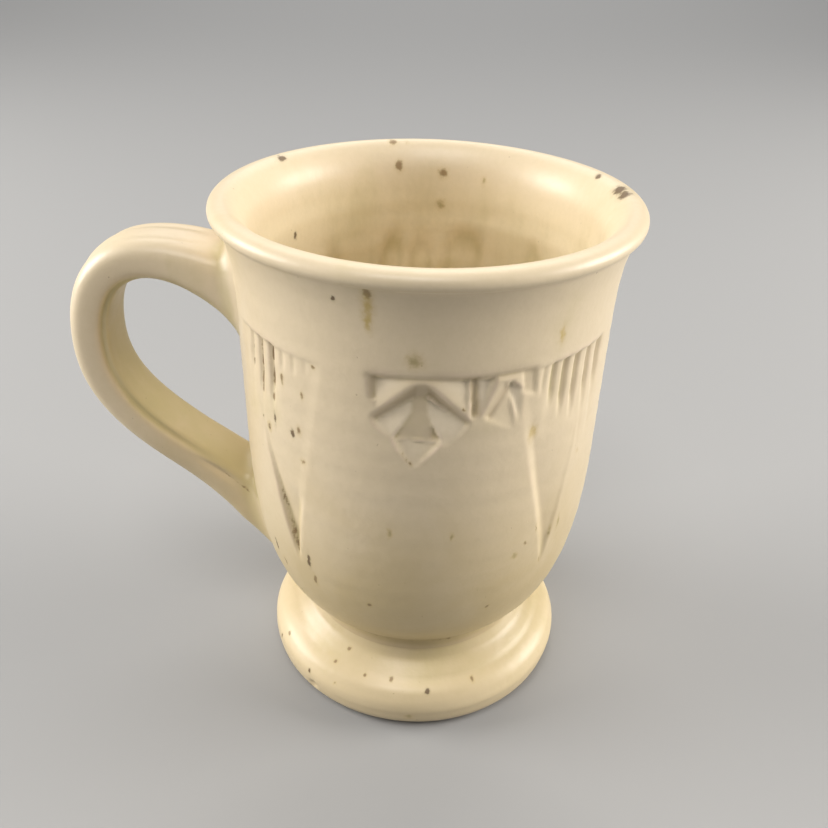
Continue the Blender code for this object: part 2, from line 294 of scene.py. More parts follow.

# iron marks: angle, height, half width, half height in mm, kind
glazeMarks = [
    (-13, 114.2, 0.8, 1, "rust"), (-13.2, 111.3, 1, 3.6, "ochre"), (-13.6, 108, 0.5, 1.6, "ochre"),
    (-1.8, 101.2, 1.3, 1.2, "olive"), (32.9, 83.2, 0.9, 1.5, "ochre"), (38.8, 103.3, 0.6, 1.6, "ochre"),
    (-14.8, 40, 0.5, 0.6, "rust"), (25.2, 38, 0.4, 0.9, "rust"), (-34.6, 89.4, 0.4, 0.8, "rust"),
    (-21.9, 111.9, 0.4, 0.6, "brown"), (-35.3, 74, 0.6, 0.7, "rust"), (-30, 96.5, 0.5, 0.4, "rust"),
    (-39.3, 59.4, 0.5, 1.7, "brown"), (-40.1, 63.9, 0.4, 1, "rust"), (-36.2, 47.4, 0.5, 2.2, "brown"),
    (-34.8, 42, 0.5, 1.9, "rust"), (-55.1, 43.8, 0.5, 1.8, "brown"), (-51.1, 40.5, 0.4, 1.2, "rust"),
    (-47, 80.2, 0.4, 1.8, "brown"), (-45, 63, 0.4, 1.8, "rust"), (-39, 79.5, 0.7, 0.9, "brown"),
    (-36.5, 81, 0.6, 0.9, "rust"), (-48, 93.5, 0.5, 0.7, "brown"), (-42, 91, 0.4, 1.2, "rust"),
    (49.8, 56, 0.4, 1.6, "olive"), (45.9, 54.6, 0.35, 1.3, "olive"), (35.1, 55.3, 0.4, 0.5, "rust"),
    (31.5, 52.8, 0.6, 0.7, "olive"), (-7.9, 62.4, 0.4, 1, "olive"), (10.1, 61.9, 0.3, 0.8, "olive"),
    (-4.3, 81.7, 0.35, 0.5, "rust"), (-3.3, 80.7, 0.3, 0.6, "rust"), (-2.3, 79.6, 0.35, 0.5, "rust"),
    (14.9, 95, 0.35, 0.4, "brown"), (13.9, 91, 0.3, 0.4, "rust"), (23.4, 94.4, 0.35, 0.5, "rust"),
    (-10.2, 90.1, 0.3, 0.4, "rust"), (11.2, 91.2, 0.3, 0.35, "rust"), (38.9, 58.6, 0.2, 1.2, "rust"),
    (43.4, 47.4, 0.25, 1, "rust"), (58.5, 92, 0.3, 1, "olive"), (0.5, 94.5, 0.5, 0.25, "rust"),
    (93.8, 118.4, 1.5, 1, "brown"), (98.8, 118.4, 1.7, 0.9, "brown"), (113, 118.4, 0.8, 0.6, "brown"),
    (-167.2, 118.3, 0.9, 0.8, "rust"), (-172, 118, 0.5, 0.6, "rust"), (-124, 118.4, 1.2, 0.5, "brown"),
]
innerMarks = [
    (-168.7, 114, 0.8, 1.2, "rust"), (174.5, 112.4, 0.9, 1.1, "rust"), (174.8, 104.9, 0.8, 1, "olive"),
    (158.6, 111.6, 0.5, 0.9, "olive"), (-121.4, 102, 0.5, 0.8, "brown"),
]
footMarks = [
    (6.4, 11, 0.6, 1.1, "brown"), (-8.6, 12.2, 0.5, 0.5, "rust"), (-0.7, 4.8, 0.8, 0.8, "olive"),
    (-20, 12, 0.4, 0.4, "rust"), (-31.5, 14.2, 0.5, 0.6, "rust"),
    (-43.2, 8, 0.5, 0.5, "brown"), (-65.9, 7.5, 0.4, 0.7, "brown"), (-62, 10, 0.5, 0.5, "rust"),
    (-34.4, 12, 0.5, 0.6, "rust"), (-30.7, 9, 0.4, 0.4, "rust"), (25.1, 11.5, 0.6, 0.7, "rust"),
]


def glaze(name, marks=(), markRadius=None):
    look = glazeLook
    material, tree, shader = newMaterial(name)
    start = Wire(tree)
    place = start.node("ShaderNodeTexCoord", output=3)
    place = place.moved((-axisX, 0, 0))

    clouds = place.noise(look["cloudSize"], 4, 0.55, 0.6)
    runs = place.scaled((1, 1, look["runStretch"])).noise(look["runSize"], 3, 0.6)
    grain = place.noise(look["grainSize"], 4, 0.6)
    thick = (clouds * 0.75 + runs * 0.25 + start.mask("pool") * 0.55).step(0.5, 0.98)
    thin = ((1 - clouds) * 0.8 + start.mask("edge") * 0.7).step(0.48, 0.95)
    level = place.node("ShaderNodeSeparateXYZ", {0: place}, output=2)
    lowShare = (level + (clouds - 0.5) * 0.05).step(*look["lowToneBand"]) * level.step(*look["footBand"])
    # painted light inside the cup, painted shade, and painted light on up-facing facets go over the glaze
    # here
    layers = [(thin, "thin"), (start.mask("lining") * 0.9, "lining"), (thick, "thick"),
              (start.mask("shade") * (0.45 + runs * 0.3), "shade"), (start.mask("pale") * 0.58, "pale"),
              (lowShare * 0.85, "lowTone"), (level.step(*look["flareBand"]) * 0.42, "lowTone")]

    # iron in the clay, broken through the glaze: pepper, flecks and larger spots
    bend = place.noise(0.0016, 2.0, output=1)
    warped = place.moved(bend.moved((-0.5, -0.5, -0.5)).scaled((look["wander"],) * 3))
    flecked = warped.scaled((1, 1, look["squat"]))

    def speckles(kind, where, grown=1.0):
        cell, radius, rarity = look[kind]
        radius = radius * grown
        grid = {"Vector": where, "Scale": 1 / cell}
        distance = start.node("ShaderNodeTexVoronoi", grid)
        chance = start.node("ShaderNodeTexVoronoi", grid, output=1)
        chance = chance.node("ShaderNodeSeparateColor", {0: chance})
        size = chance.step(rarity, 1.0) * radius
        return ((size - distance) / (radius * 0.35)).step(0.0, 1.0)

    shifted = flecked.moved(look["spotShift"])
    pepper, flecks = speckles("pepper", flecked), speckles("flecks", flecked)
    bigSpots, halo = speckles("spots", shifted), speckles("spots", shifted, 1.8)
    layers += [(pepper * 0.38, "rust"), (halo * 0.35, "ochre"), (flecks * 0.72, "rust"),
               (bigSpots * grain.step(0.3, 0.6) * 0.85, "brown")]

    # brown where the glaze breaks over the cuts
    dashes = place.noise(look["dashSize"], 2)
    broken = (start.mask("crease") * (dashes * 1.5 + grain * 0.5)).step(0.76, 1.02)
    layers.append((broken * 0.85, "rust"))
    tone = look["cream"]
    for layer, shown in layers:
        tone = layer.mix(tone, look[shown])
    dark = broken * bigSpots
    for angle, height, halfWidth, halfHeight, kind in marks:
        turn = math.radians(angle)
        across, upward = [1 / (half * look["markSize"] * mm) for half in (halfWidth, halfHeight)]
        radius = markRadius(angle, height * mm)
        away = warped.moved((-radius * math.sin(turn), radius * math.cos(turn), -height * mm))
        away = away.scaled((across, across, upward))
        away = away.node("ShaderNodeVectorMath", {0: away}, output=1, operation="LENGTH")
        away = away - (grain - 0.5) * look["ragged"]
        bleed = (1.7 - away).step(0.0, 1.3)
        spot = (1 - away).step(0.0, look["soft"][kind])
        tone = (bleed * 0.28).mix(tone, look["olive" if kind == "brown" else "ochre"])
        tone = (spot * look["strong"][kind]).mix(tone, look[kind])
        if kind in ("brown", "rust"):
            dark = dark.math("MAXIMUM", spot)
    tone = (grain.step(0.35, 0.75) * 0.1).mix(tone, look["thick"])
    tree.links.new(tone.socket, shader.inputs["Base Color"])

    rough = look["roughness"] + (clouds - 0.5) * 0.16 + (grain - 0.5) * 0.1 + dark * 0.12
    tree.links.new(rough.socket, shader.inputs["Roughness"])
    height = (place.noise(look["skinSize"], 3, 0.5) * 1.6 + grain * 0.35) * look["skinDepth"]
    height = height - (flecks + bigSpots + pepper * 0.3) * (look["pitDepth"] * 0.3)
    height = height - start.mask("crease") * grain * look["creaseDepth"]
    bump = start.node("ShaderNodeBump", {"Height": height, "Strength": 1.0, "Distance": 1.0})
    tree.links.new(bump.socket, shader.inputs["Normal"])
    shader.inputs["IOR"].default_value = look["ior"]
    shader.inputs["Coat Weight"].default_value, shader.inputs["Coat Roughness"].default_value = look["coat"]
    return material


clayLook = {
    "buff": color(0.52, 0.36, 0.22),
    "toast": color(0.36, 0.20, 0.10),
    "grog": color(0.62, 0.50, 0.36),
}


def bareClay(name):
    # the ring under the foot, wiped clean of glaze before the firing
    look = clayLook
    material, tree, shader = newMaterial(name)
    place = Wire(tree).node("ShaderNodeTexCoord", output=3)
    clouds = place.noise(0.009, 4, 0.6)
    grit = place.noise(0.0006, 3, 0.7)
    tone = clouds.step(0.35, 0.7).mix(look["buff"], look["toast"])
    tone = (grit.step(0.58, 0.72) * 0.6).mix(tone, look["grog"])
    tree.links.new(tone.socket, shader.inputs["Base Color"])
    tree.links.new((0.74 + (grit - 0.5) * 0.2).socket, shader.inputs["Roughness"])
    bump = place.node("ShaderNodeBump", {"Height": grit * 0.00016, "Strength": 1.0, "Distance": 1.0})
    tree.links.new(bump.socket, shader.inputs["Normal"])
    return material


cup = {
    "bellyRadius": 39.8 * mm,
    "bellyHeight": 64 * mm,
    "waistRadius": 26.7 * mm,
    "neckHeight": 21.5 * mm,
    "neckRadius": 40 * mm,
    "lipWidth": 5.2 * mm,
    "lipHeight": 4 * mm,
    "lipTurn": 112,  # the lip's roll ends here and slopes into the cup
    "lipSlope": (4.1 * mm, 5.4 * mm),
    "wall": 4.4 * mm,
    "floor": 5.5 * mm,
    "steps": 300,  # divisions round the wheel
    "carvedSpacing": 0.8 * mm,
    "plainSpacing": 1.15 * mm,
    "innerSpacing": 1.7 * mm,
    "lipSpacing": 0.45 * mm,
    "ringPitch": 5.2 * mm,  # throwing rings
    "wideRingPitch": 8.3 * mm,
    "innerRingPitch": 9.1 * mm,
    "floorRingPitch": 5.5 * mm,
    "ringDepth": 0.1 * mm,
    "innerRingDepth": 0.34 * mm,
    "floorRingDepth": 0.18 * mm,
    "outerSkin": 1.6 * mm,  # points this near the outside's outline are on it
    "thinGlaze": 0.22 * mm,  # how far an edge stands out for its glaze to run thin
    "pooledGlaze": 0.3 * mm,  # and a cut sinks in for the glaze to pool
    # fingers pressed in from the inside: angle, top in mm, reach in degrees, depth in mm
    "dents": [
        (164.5, 100.5, 9.5, 0.9), (-178, 97.5, 6, 0.8), (-166.5, 98.5, 6, 0.9), (-139.5, 97, 6.5, 0.6),
        (134, 101, 5.5, 0.6), (108, 98, 8, 0.7), (84, 96, 7, 0.5), (55, 97.5, 8.5, 0.7), (27, 95.5, 6, 0.6),
        (-6, 98, 8.5, 0.8), (-33, 96, 6.5, 0.5), (-60, 97.5, 8, 0.7), (-91, 95, 7, 0.6), (-115, 98, 7, 0.6),
    ],
    # cuts are softened by the glaze: steps in degrees and mm, and their weights
    "softCut": [(0, 0, 0.2), (0.36, 0, 0.12), (-0.36, 0, 0.12), (0, 0.25, 0.12), (0, -0.25, 0.12),
                (0.3, 0.2, 0.08), (-0.3, 0.2, 0.08), (0.3, -0.2, 0.08), (-0.3, -0.2, 0.08)],
}
beltHeight = mugHeight - cup["neckHeight"]
lipMiddle = (rimRadius - cup["lipWidth"] / 2, mugHeight - cup["lipHeight"] / 2)
cupBase = cupLow[2]


def cupOutside():
    belly = (cup["bellyRadius"], cup["bellyHeight"])
    belt = (cup["neckRadius"] - 0.1 * mm, beltHeight)
    lipRoot = (lipMiddle[0] + cup["lipWidth"] * 0.2, lipMiddle[1] - cup["lipHeight"] * 0.46)
    swell = cup["bellyRadius"] - cup["waistRadius"]
    rise = belly[1] - cupBase
    bowl = bezier((cup["waistRadius"], cupBase), (cup["waistRadius"] + 0.6 * swell, cupBase + 0.09 * rise),
                  (belly[0], belly[1] - 0.6 * rise), belly)
    third = (beltHeight - belly[1]) / 3
    wall = bezier(belly, (belly[0], belly[1] + third), (belt[0] - 0.1 * mm, beltHeight - third), belt)
    neckRise = lipRoot[1] - beltHeight
    neck = bezier(belt, (belt[0] + 0.15 * mm, beltHeight + 0.45 * neckRise),
                  (lipRoot[0] - 2 * mm, lipRoot[1] - 0.28 * neckRise), lipRoot)
    return bowl, wall, neck


def cupInside():
    floorHeight = cupBase + cup["floor"]
    depth = cup["bellyHeight"] - floorHeight
    inner = cup["bellyRadius"] - cup["wall"]
    crest = oval(lipMiddle, cup["lipWidth"] / 2, cup["lipHeight"] / 2, 0, cup["lipTurn"])[-1]
    throat = (crest[0] - cup["lipSlope"][0], crest[1] - cup["lipSlope"][1])
    shoulder = (inner, beltHeight - 10 * mm)
    drop = throat[1] - shoulder[1]
    slope = bezier(crest, (crest[0] - 1.7 * mm, crest[1] - 0.8 * mm),
                   (throat[0] + 0.8 * mm, throat[1] + 2 * mm), throat)
    neck = bezier(throat, (throat[0] - 0.9 * mm, throat[1] - 0.16 * drop),
                  (inner, shoulder[1] + 0.5 * drop), shoulder)
    neck = joined(slope, neck)
    bowl = bezier((inner, cup["bellyHeight"]), (inner, cup["bellyHeight"] - 0.6 * depth),
                  (0.82 * cup["waistRadius"], floorHeight), (0, floorHeight), 40)
    return neck, [shoulder, bowl[0]], bowl


def outsideRadius(height):
    return radiusAt(height, joined(*cupOutside()))


def insideRadius(height):
    return radiusAt(height, joined(*cupInside())[::-1])


# the carving, in degrees round the wall and mm below the belt
carving = {
    # point's angle and height, side that is cut steep, spread of both sides, where the steep cut
    # stops, how much brown shows
    "wedges": [
        (44, 45.6, 1, 0.372, 0.26, 88, 0.1), (-40.3, 45.8, -1, 0.255, 0.43, 64, 1),
        (137.5, 47.2, -1, 0.33, 0.33, 70, 0.45), (-137, 46.8, 1, 0.33, 0.35, 66, 0.8),
    ],
    "wedgeDepth": 1.45,
    "wedgeSlope": 3.0,  # width of the steep cut in degrees
    # each panel's flutes: angle, depth, length below the belt, how much brown shows
    "flutes": {
        "right": [(34.6, 0.5, 8, 0.1), (38.4, 0.75, 11, 0.2), (43.2, 0.95, 15, 0.15), (48.4, 0.95, 16, 0.2),
                  (54.4, 0.85, 15, 0.4), (60.2, 0.7, 13, 0.5)],
        "left": [(-58, 0.7, 10, 0.9), (-52.6, 0.9, 15, 1), (-46.8, 1.05, 15, 1), (-41.4, 0.45, 6, 0.6),
                 (-37, 0.4, 6, 0.1), (-32.6, 0.32, 5, 0)],
        "rearRight": [(123.6, 0.8, 14, 0.3), (128.9, 0.9, 16, 0.6), (134.4, 1, 15, 0.8),
                      (139.8, 0.8, 13, 0.4), (145.2, 0.6, 9, 0.2)],
        "rearLeft": [(-150.2, 0.6, 10, 0.2), (-144.9, 0.8, 14, 0.5), (-139.6, 1, 16, 0.9),
                     (-134.5, 0.9, 15, 0.7), (-128.8, 0.7, 12, 0.3)],
    },
    "fluteHalf": 1.45,
    "fluteLean": 0.05,
    # the wall sinks a little under the belt here: angle, reach to either side, depth
    "hollows": [(49, 14.5, 0.42), (-54, 11.5, 0.34), (135, 15, 0.42), (-139.5, 15, 0.42)],
    "panels": [0.0, 90.0, 180.0],
}
# chip-cut facets of one panel: how much painted shade lies on it (below 0 it gets painted light instead),
# then its
# corners in order: degrees, mm below the belt, depth in mm; the first three set the plane
chips = [
    (0.9, [(-13.4, 8.2, 0.05), (-1.2, 0.6, 0.05), (-1.2, 3.8, 1.85), (-12.4, 9.4, 1.1)]),
    (0.9, [(13.2, 8.8, 0.05), (1.4, 0.6, 0.05), (1.6, 3.8, 1.85), (12.6, 9.8, 0.6)]),
    (-1, [(-7.3, 12.8, 0.05), (-12.4, 9.5, 1.2), (-2.4, 4.5, 1.9), (-2.6, 7.4, 1.2)]),
    (-1, [(7.9, 13.9, 0.05), (12.7, 9.8, 0.65), (1.6, 4.3, 1.9), (1.9, 7.6, 1.5), (5.3, 13.3, 0.2)]),
    (0.35, [(-2.4, 4.6, 1.8), (1.6, 4.4, 1.8), (1.9, 7.6, 1.5), (-2.6, 7.4, 1.5)]),
    (0.25, [(-2.6, 7.4, 1.5), (1.9, 7.6, 1.5), (5.3, 13.3, 1.05), (-7.2, 12.8, 1.05)]),
    (0.6, [(-1.2, 0.6, 0.05), (1.6, 0.6, 0.05), (1.6, 4.4, 1.8), (-2.4, 4.6, 1.8)]),
    (0.8, [(3, 9.9, 1.7), (5.3, 13, 1.6), (3.2, 12.7, 1.6)]),
    (-0.5, [(-6.8, 12.9, 1), (5.2, 13.5, 1), (-1.6, 18.8, 0.05), (-5, 15.6, 0.5)]),
    (-0.8, [(-12, 0.3, 1.45), (-2.2, 0.4, 0.05), (-12, 6.4, 0.02)]),
    (0.9, [(-14.2, 0.3, 0.15), (-12, 0.3, 1.45), (-12.2, 4.6, 1), (-14, 4.6, 0.05)]),
    (-0.8, [(12.6, 0.3, 1.45), (2.2, 0.4, 0.05), (12.6, 7.2, 0.02)]),
    (0.9, [(12.6, 0.3, 1.2), (14.9, 0.3, 1.6), (15.6, 7.8, 1.05), (13.6, 8.4, 0.6)]),
    (-1, [(14.9, 0.4, 1.1), (19.4, 0.5, 1.2), (15.7, 8.3, 0.02)]),
    (1, [(21.8, 1.2, 0.05), (16.6, 7.9, 0.05), (18.6, 8.9, 0.65), (24.2, 3.2, 0.8)]),
    (0, [(24.2, 3.2, 0.8), (25.8, 12, 0.02), (18.6, 8.9, 0.25)]),
    (-1, [(23.6, 1.6, 1.35), (28.4, 4, 0.1), (27.6, 11, 0.02), (24.2, 4, 1)]),
    (0.3, [(27.4, 0.2, 0.6), (31.4, 0.3, 0.6), (32.2, 5.4, 0.45), (28.2, 4.4, 0.5)]),
]


def angleFrom(angle, middle):
    return (angle - middle + 180) % 360 - 180


def chipDepth(across, below):
    # the deepest facet at each point of one panel, and the painted shade there (below 0, painted light)
    depth = np.zeros_like(across)
    shade = np.zeros_like(across)
    for dark, corners in chips:
        (u0, v0, d0), (u1, v1, d1), (u2, v2, d2) = corners[:3]
        turn = (u1 - u0) * (v2 - v0) - (u2 - u0) * (v1 - v0)
        alongU = ((d1 - d0) * (v2 - v0) - (d2 - d0) * (v1 - v0)) / turn
        alongV = ((u1 - u0) * (d2 - d0) - (u2 - u0) * (d1 - d0)) / turn
        plane = np.clip(d0 + alongU * (across - u0) + alongV * (below - v0), 0, 1.9)
        inside = np.ones(across.shape, bool)
        for (ua, va, _), (ub, vb, _) in zip(corners, corners[1:] + corners[:1]):
            side = (ub - ua) * (below - va) - (vb - va) * (across - ua)
            inside &= side * turn >= 0
        inside &= plane > depth
        depth = np.where(inside, plane, depth)
        shade = np.where(inside, dark * np.minimum(plane * 1.5, 1), shade)
    # painted shade along the groove of the belt line and in a soft band just above it
    beltLine = ease(across, -15.5, -13.5) * ease(across, 33, 30)
    line = beltLine * hump(below, 0, 0.45)
    shadeAbove = beltLine * hump(below, -0.9, 0.9) * (0.45 + 0.35 * np.sin(across / 3.1))
    return np.maximum(depth, 0.5 * line), np.where(below < 0.4, np.maximum(0.8 * line, 0.5 * shadeAbove), shade)


def wedgeDepth(angle, z, wedge):
    # a long wedge cut with its point down: depth, and where brown gathers
    point, pointHeight, steep, steepSpread, gentleSpread, steepTop, brownShare = wedge
    across = angleFrom(angle, point) * steep
    up = np.maximum(z - pointHeight, 0)
    fromSteep = across + steepSpread * up
    fromGentle = gentleSpread * up - across
    share = 0.14 + 0.86 * ease(z, steepTop + 3, steepTop - (4 if brownShare > 0.3 else 22))
    outerShare = 0.06 + 0.9 * brownShare * ease(z, 84, 54)
    width = np.maximum(fromSteep + fromGentle, 0.1)
    acrossShare = np.clip(fromSteep / width, 0, 1)
    floor = carving["wedgeDepth"] * (share * (1 - acrossShare) + outerShare * acrossShare)
    steepCut = np.clip(fromSteep / carving["wedgeSlope"], 0, 1)
    outerCut = ease(fromGentle, 0, 0.9)
    cut = floor * np.minimum(steepCut, outerCut) * ease(up, 0, 0.9)
    line = ease(np.abs(fromGentle - 0.8), 1.5, 0.2) * ease(z, 78, 60) * (fromSteep > 0.5)
    corner = ease(fromGentle, 3.4, 0.4) * ease(z, 60, 50)
    corner = corner * (fromSteep > carving["wedgeSlope"] * 0.8)
    edge = ease(np.abs(fromSteep + 0.3), 0.7, 0.1) * ease(z, 63, 57) * 0.8
    brown = np.maximum(np.maximum(line, edge), corner * 0.75) * (up > 0.3) * (fromGentle > -0.4) * brownShare
    return cut, brown


def fluteDepth(angle, below, flute):
    middle, deep, length, brownShare = flute
    across = angleFrom(angle, middle) + carving["fluteLean"] * below
    half = carving["fluteHalf"] * (0.75 + 0.35 * deep)
    groove = 1 - np.clip(np.abs(across) / half, 0, 1) ** 1.3
    fade = ease(below, length, length * 0.35) + 0.22 * ease(below, length * 2.0, length * 0.8)
    cut = deep * groove * np.minimum(fade, 1) * ease(below, -0.1, 0.5)
    brown = ease(np.abs(across - 0.2), 1.5, 0.3) * ease(below, length, length * 0.75)
    return cut, brown * ease(below, 0.3, 1.2) * brownShare * 1.4


def carvedDepth(angle, height):
    # how deep the wall is cut, in mm, where dark glaze gathers, and the painted shade and light on the
    # chip-cut facets
    z = height / mm
    below = beltHeight / mm - z
    depth = np.zeros_like(angle)
    crease = np.zeros_like(angle)
    shade = np.zeros_like(angle)
    for middle in carving["panels"]:
        cut, dark = chipDepth(angleFrom(angle, middle), below)
        depth = np.maximum(depth, cut)
        shade = np.where(dark != 0, dark, shade)
    for wedge in carving["wedges"]:
        cut, brown = wedgeDepth(angle, z, wedge)
        depth = np.maximum(depth, cut * (below > 0))
        crease = np.maximum(crease, brown)
    for panel in carving["flutes"].values():
        for flute in panel:
            cut, brown = fluteDepth(angle, below, flute)
            depth = np.maximum(depth, cut)
            crease = np.maximum(crease, brown)
    for middle, reach, deep in carving["hollows"]:
        spread = np.abs(angleFrom(angle, middle))
        depth = depth + deep * ease(spread, reach, reach - 4) * ease(below, 24, 2) * (below > 0)
    return depth, crease, shade


def shapeCup(piece):
    points = readPoints(piece)
    edges = readEdges(piece)
    angle, radius, height = wallPlace(points)
    outer = (radius > outsideRadius(height) - cup["outerSkin"]) & (height > cupBase + 0.5 * mm)
    drop = lipMiddle[1] - height
    belowLip = ease(drop, 2 * mm, 6 * mm)
    depth, crease, shade = np.zeros((3, len(angle)))
    for sideways, upward, share in cup["softCut"]:
        cut, brown, dark = carvedDepth(angle + sideways, height + upward * mm)
        depth += cut * share
        crease += brown * share
        shade += dark * share
    band = outer & (height < beltHeight + 3 * mm) & (height > 40 * mm)
    depth = np.where(band, depth, 0) * mm
    crease = np.where(band, crease, 0)
    shade = softened(np.where(band, shade, 0), edges, 1)
    # painted shade on the bowl's underside just above the waist
    underBowl = outer * ease(height, cupBase + 7 * mm, cupBase + 1 * mm) * 0.75
    # painted light on the inside below the lip, for the light bounced round the cup
    lining = ~outer * ease(drop, 2 * mm, 13 * mm)
    rounded = softened(depth, edges, 1, 0.25)
    pool = softened(rounded, edges, 8) - rounded
    edgeMask = np.clip(pool / cup["thinGlaze"], 0, 1) * 0.7
    poolMask = np.clip(-pool / cup["pooledGlaze"], 0, 1) * 0.5

    # the wheel's rings, and a wall that is not quite round
    turn = np.radians(angle)
    rings = np.sin(math.tau * height / cup["ringPitch"] + turn)
    rings += 0.5 * np.sin(math.tau * height / cup["wideRingPitch"] - turn + 1)
    uneven = 0.5 + 0.5 * np.sin(2 * turn + 0.7 + 12 * height)
    inward = rounded + belowLip * (cup["ringDepth"] * (0.5 + 0.25 * rings) + 0.1 * mm * uneven)
    inner = ~outer & (height > cupBase + cup["floor"] * 0.8)
    innerShare = inner * ease(drop, 1 * mm, 8 * mm)
    hollow = np.zeros_like(height)
    for middle, top, reach, deep in cup["dents"]:
        across = angleFrom(angle, middle) / reach
        up = (height / mm - (top - 8)) / 8
        bent = across + 0.25 * np.minimum(up, 0)
        press = deep * ease(bent ** 2 + np.maximum(up, 0) ** 2, 1.0, 0.25) * ease(up, -2.4, -0.2)
        hollow = np.maximum(hollow, press)
    dent = softened(hollow * innerShare, edges, 2)
    innerRings = 0.5 * rings + 0.4 * np.sin(math.tau * height / cup["innerRingPitch"] + 2 * turn)
    outward = innerShare * cup["innerRingDepth"] * innerRings * 0.5 + dent * mm

    lip = ease(drop, 4 * mm, 0)
    lipWave = 0.14 * mm * (0.5 + 0.5 * np.sin(3 * turn + 0.4))
    lipWave += 0.08 * mm * (0.5 + 0.5 * np.sin(5 * turn + 2))
    newRadius = np.where(inner, radius + outward, radius - np.where(outer, inward, 0)) - lip * lipWave * 0.5
    moveRadially(points, radius, newRadius)
    points[:, 2] -= lip * lipWave * 0.6
    floorRings = (radius < 20 * mm) & inner
    floorWave = np.sin(math.tau * radius / cup["floorRingPitch"] + turn)
    points[:, 2] += floorRings * cup["floorRingDepth"] * floorWave
    writePoints(piece, points)
    dentPool = np.clip((dent - softened(dent, edges, 6)) * 3, 0, 1) * 0.9 + dent * 0.18
    depthPool = inner * ease(height, 117 * mm, 92 * mm) * 0.16
    # facets below 0 get painted light, those above 0 painted shade
    storeMasks(piece, shade=np.maximum(shade, underBowl), pale=-shade, lining=lining, edge=edgeMask,
               pool=np.maximum(poolMask, dentPool * 0.6 + depthPool), crease=softened(crease, edges, 1))


def addCup():
    bowl, wall, neck = cupOutside()
    lip = oval(lipMiddle, cup["lipWidth"] / 2, cup["lipHeight"] / 2, -66, cup["lipTurn"], 40)
    innerNeck, upright, innerBowl = cupInside()
    outline = joined([(0, cupBase), (cup["waistRadius"] * 0.5, cupBase)],
                     spaced(bowl, cup["plainSpacing"]),
                     spaced(wall, cup["carvedSpacing"]),
                     spaced(neck, cup["plainSpacing"]),
                     spaced(lip, cup["lipSpacing"]),
                     spaced(joined(innerNeck, upright, innerBowl), cup["innerSpacing"]))
    mesh = turnedMesh(outline, cup["steps"])
    # finer clay where it is carved
    carved = []
    flutes = sum(carving["flutes"].values(), [])
    for face in mesh.faces:
        middle = face.calc_center_median()
        angle = math.degrees(math.atan2(middle.x - axisX, -middle.y))
        radius = math.hypot(middle.x - axisX, middle.y)
        if not 45 * mm < middle.z < beltHeight + 1 * mm or radius < outsideRadius(middle.z) - 2 * mm:
            continue
        underBelt = middle.z > beltHeight - 20 * mm
        onPanel = underBelt and any(-16 < angleFrom(angle, panel) < 34 for panel in carving["panels"])
        onFlutes = underBelt and any(abs(angleFrom(angle, flute[0])) < 3 for flute in flutes)
        onWedge = False
        for point, pointHeight, steep, steepSpread, gentleSpread, _, _ in carving["wedges"]:
            up, across = middle.z / mm - pointHeight, angleFrom(angle, point) * steep
            onWedge = onWedge or -3 - steepSpread * up < across < 3 + gentleSpread * up
        if onPanel or onFlutes or onWedge:
            carved.append(face)
    edges = {edge for face in carved for edge in face.edges}
    bmesh.ops.subdivide_edges(mesh, edges=list(edges), cuts=1, use_grid_fill=True)
    material = glaze("creamGlazeCup", glazeMarks + innerMarks, cupMarkRadius)
    piece = addPiece("cupBody", mesh, [material], 80)
    shapeCup(piece)
    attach(piece, "root")
    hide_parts("cup_body")
    print("cup: thrown, rolled at the rim and carved,", len(piece.data.polygons), "faces")
    return piece


def cupMarkRadius(angle, height):
    if height > mugHeight - 1.2 * mm:
        return lipMiddle[0] - 1.2 * mm
    onInside = any(abs(angle - mark[0]) < 0.1 for mark in innerMarks)
    return float(insideRadius(height) if onInside else outsideRadius(height))


foot = {
    "edge": 12 * mm,
    "edgeTurn": 58,
    "wall": 7.8 * mm,
    "standInset": 5 * mm,
    "standWidth": 5 * mm,
    "steps": 288,
    "spacing": 0.75 * mm,
    "bareTo": 0.35 * mm,
    "chipAngle": -41.0,
    "chipHeight": 4.5 * mm,
    "chipReach": 1.5 * mm,
    "chipDepth": 0.9 * mm,
    "ringPitch": 4.1 * mm,
    "fineRingPitch": 2.3 * mm,
    "boreRingPitch": 2.6 * mm,
    # a thumb's press on the flare: angle, reach in degrees, height, reach, depth
    "press": (-52, 9, 13 * mm, 2.2 * mm, 0.3 * mm),
}


def footOutline():
    half = foot["edge"] / 2
    top = footHigh[2]
    waist = cup["waistRadius"]
    standOuter = footRadius - foot["standInset"]
    standInner = standOuter - foot["standWidth"]
    underEdge = bezier((standOuter, 0), (standOuter + 0.45 * foot["standInset"], 0),
                       (footRadius, 0.4 * half), (footRadius, half))
    overEdge = oval((footRadius - half, half), half, half, 0, foot["edgeTurn"])
    edgeEnd = overEdge[-1]
    lift = top - edgeEnd[1]
    slope = math.radians(foot["edgeTurn"])
    onward = (edgeEnd[0] - 0.5 * lift * math.sin(slope), edgeEnd[1] + 0.5 * lift * math.cos(slope))
    flare = bezier(edgeEnd, onward, (waist, top - 0.6 * lift), (waist, top))
    bore = waist - foot["wall"]
    inside = bezier((bore, top), (bore, 0.6 * top),
                    (standInner - 0.25 * (standInner - bore), 0.3 * top), (standInner + 0.4 * mm, 0.5 * mm))
    outside = spaced(joined(underEdge, overEdge, flare), foot["spacing"])
    inside = spaced(inside, foot["spacing"])
    ring = spaced([(standInner + 0.8 * mm, 0), (standOuter, 0)], foot["spacing"])
    return joined(ring, outside, inside), standInner, standOuter


